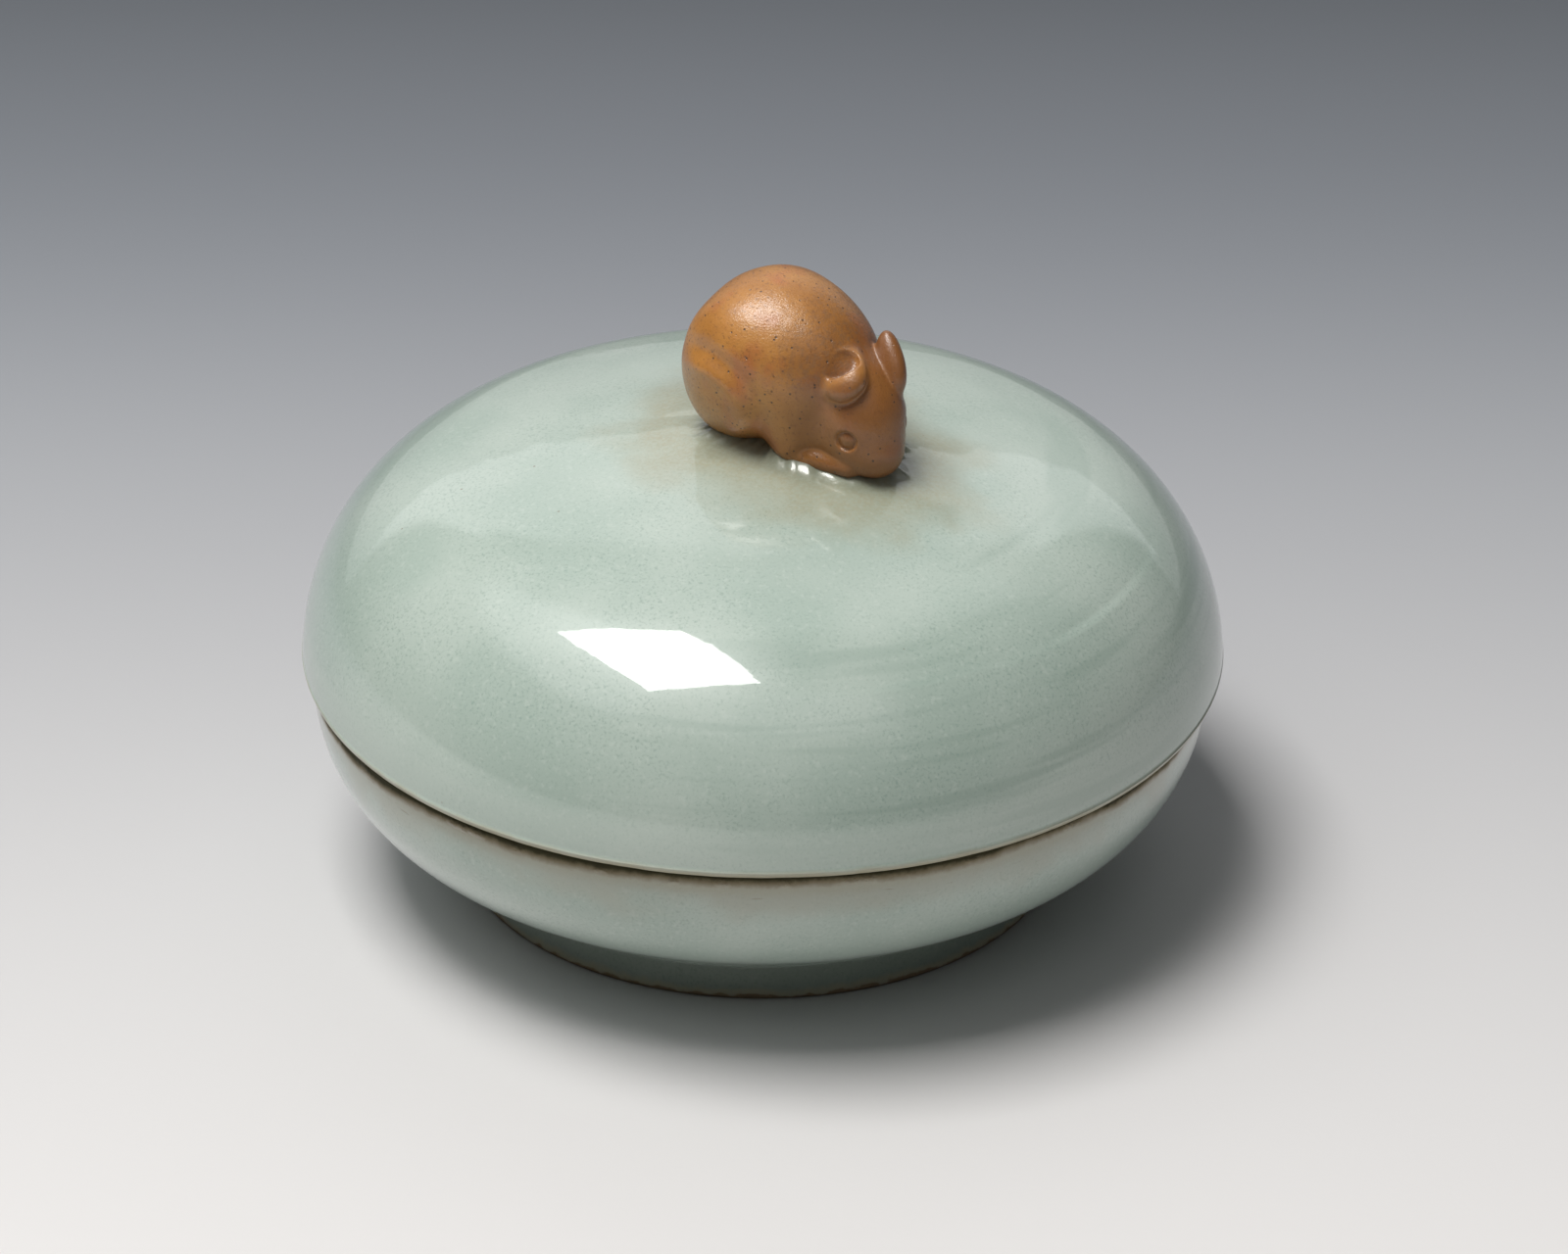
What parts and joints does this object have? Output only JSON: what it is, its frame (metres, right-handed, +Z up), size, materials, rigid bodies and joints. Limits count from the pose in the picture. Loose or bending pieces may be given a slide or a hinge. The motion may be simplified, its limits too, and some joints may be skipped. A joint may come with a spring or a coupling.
{
  "type": "lidded rice bowl",
  "caption": "Round lidded ceramic bowl on a foot ring; the domed lid lifts straight off by a crouching mouse figure that serves as its knob.",
  "frame": {"origin": "middle of the foot ring's underside, on the axis that the bowl and the lid are turned about", "axes": "+Z up along the turning axis; +X the way the mouse on the lid faces"},
  "size_m": [0.1498, 0.1498, 0.1045],
  "materials": {
    "celadon_glaze": "pale blue-green celadon glaze, glossy, with a fine darker mottle",
    "bare_stoneware": "unglazed stoneware burnt tan to brown, matt",
    "mouse_biscuit": "unglazed orange-brown biscuit, smooth and faintly waxy, darker in the hollows"
  },
  "bodies": {
    "bowl": {"bowl_body": "celadon_glaze", "foot_ring": "celadon_glaze", "locating_flange": "bare_stoneware"},
    "lid": {"lid_shell": "celadon_glaze", "mouse_torso": "mouse_biscuit", "mouse_head": "mouse_biscuit", "mouse_ear_right": "mouse_biscuit", "mouse_ear_left": "mouse_biscuit", "mouse_foreleg_right": "mouse_biscuit", "mouse_foreleg_left": "mouse_biscuit", "mouse_haunch_right": "mouse_biscuit", "mouse_haunch_left": "mouse_biscuit", "mouse_tail": "mouse_biscuit"}
  },
  "joints": [
    {"name": "lid_lift", "type": "slide", "parent": "bowl", "child": "lid", "axis": [0, 0, 1], "range_m": [0, 0.08]}
  ]
}
